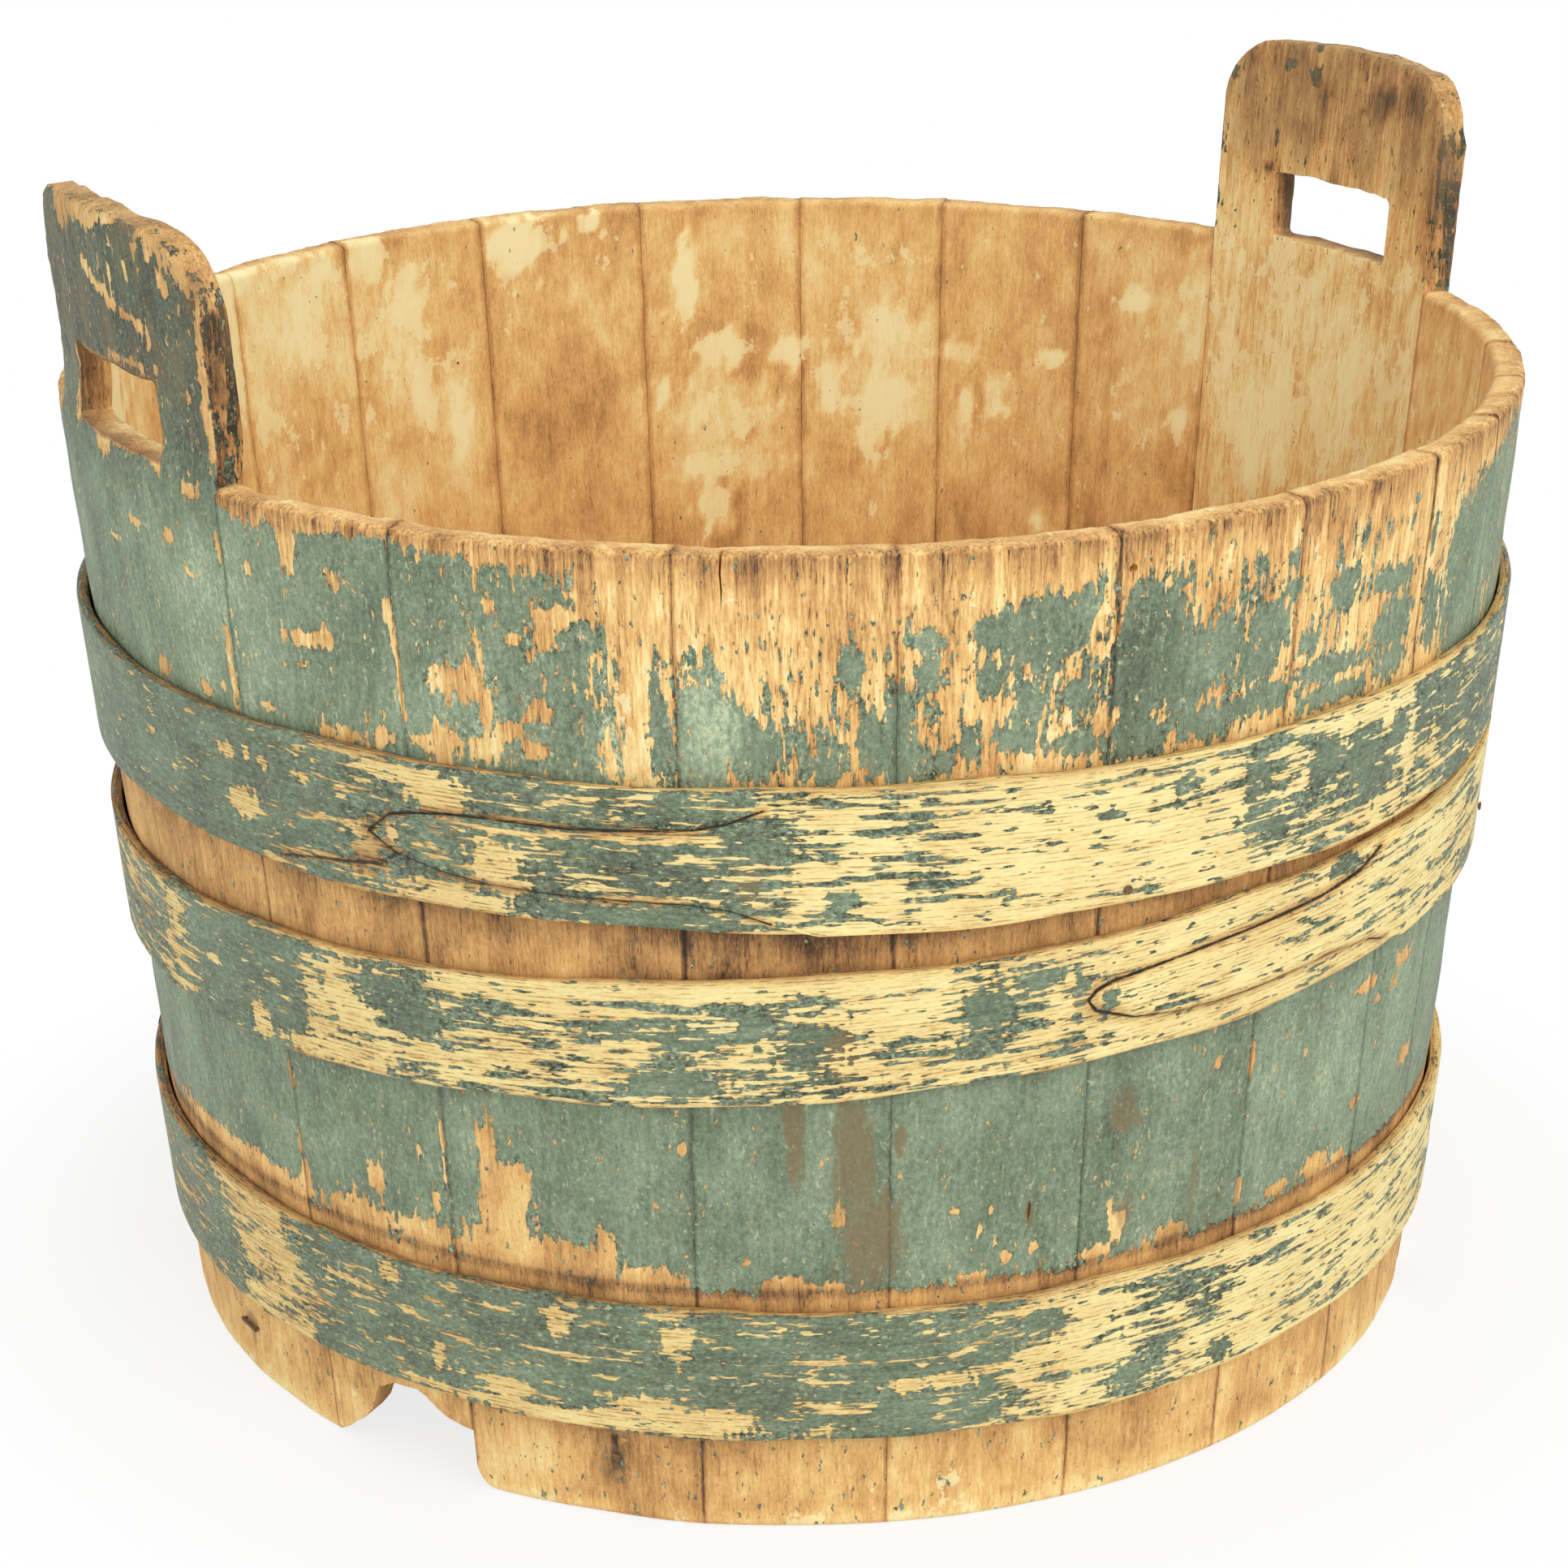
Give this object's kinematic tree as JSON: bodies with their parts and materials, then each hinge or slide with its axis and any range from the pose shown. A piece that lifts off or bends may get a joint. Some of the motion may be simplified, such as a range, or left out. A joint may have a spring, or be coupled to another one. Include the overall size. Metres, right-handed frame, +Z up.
{
  "type": "wooden wash tub",
  "caption": "Round stave-built wooden wash tub with a flat bottom, split-wood hoops with locked laps and two raised handle staves with hand slots.",
  "frame": {"origin": "on the tub's axis, in the plane of the stave feet, where the tub stands", "axes": "+Z up along the tub's axis; the two handle staves lie on +X and -X"},
  "size_m": [0.5942, 0.58, 0.478],
  "materials": {
    "painted_stave_wood": "flaking blue-green paint outside, bare tan wood inside",
    "hoop_wood": "worn paint over pale split wood",
    "bottom_wood": "bare aged wood",
    "dowel_wood": "bare wood",
    "rusted_iron": "rusted"
  },
  "bodies": {
    "root": {"handle_stave_right": "painted_stave_wood", "handle_stave_left": "painted_stave_wood", "front_stave_01": "painted_stave_wood", "front_stave_02": "painted_stave_wood", "front_stave_03": "painted_stave_wood", "front_stave_04": "painted_stave_wood", "front_stave_05": "painted_stave_wood", "front_stave_06": "painted_stave_wood", "front_stave_07": "painted_stave_wood", "front_stave_08": "painted_stave_wood", "front_stave_09": "painted_stave_wood", "front_stave_10": "painted_stave_wood", "back_stave_01": "painted_stave_wood", "back_stave_02": "painted_stave_wood", "back_stave_03": "painted_stave_wood", "back_stave_04": "painted_stave_wood", "back_stave_05": "painted_stave_wood", "back_stave_06": "painted_stave_wood", "back_stave_07": "painted_stave_wood", "back_stave_08": "painted_stave_wood", "back_stave_09": "painted_stave_wood", "back_stave_10": "painted_stave_wood", "hoop_upper": "hoop_wood", "hoop_middle": "hoop_wood", "hoop_lower": "hoop_wood", "bottom_board_1": "bottom_wood", "bottom_board_2": "bottom_wood", "bottom_board_3": "bottom_wood", "bottom_board_4": "bottom_wood", "bottom_board_5": "bottom_wood", "bottom_dowels": "dowel_wood", "foot_nail": "rusted_iron", "hoop_upper_nail": "rusted_iron", "hoop_middle_nail": "rusted_iron", "foot_staple": "rusted_iron"}
  },
  "joints": []
}
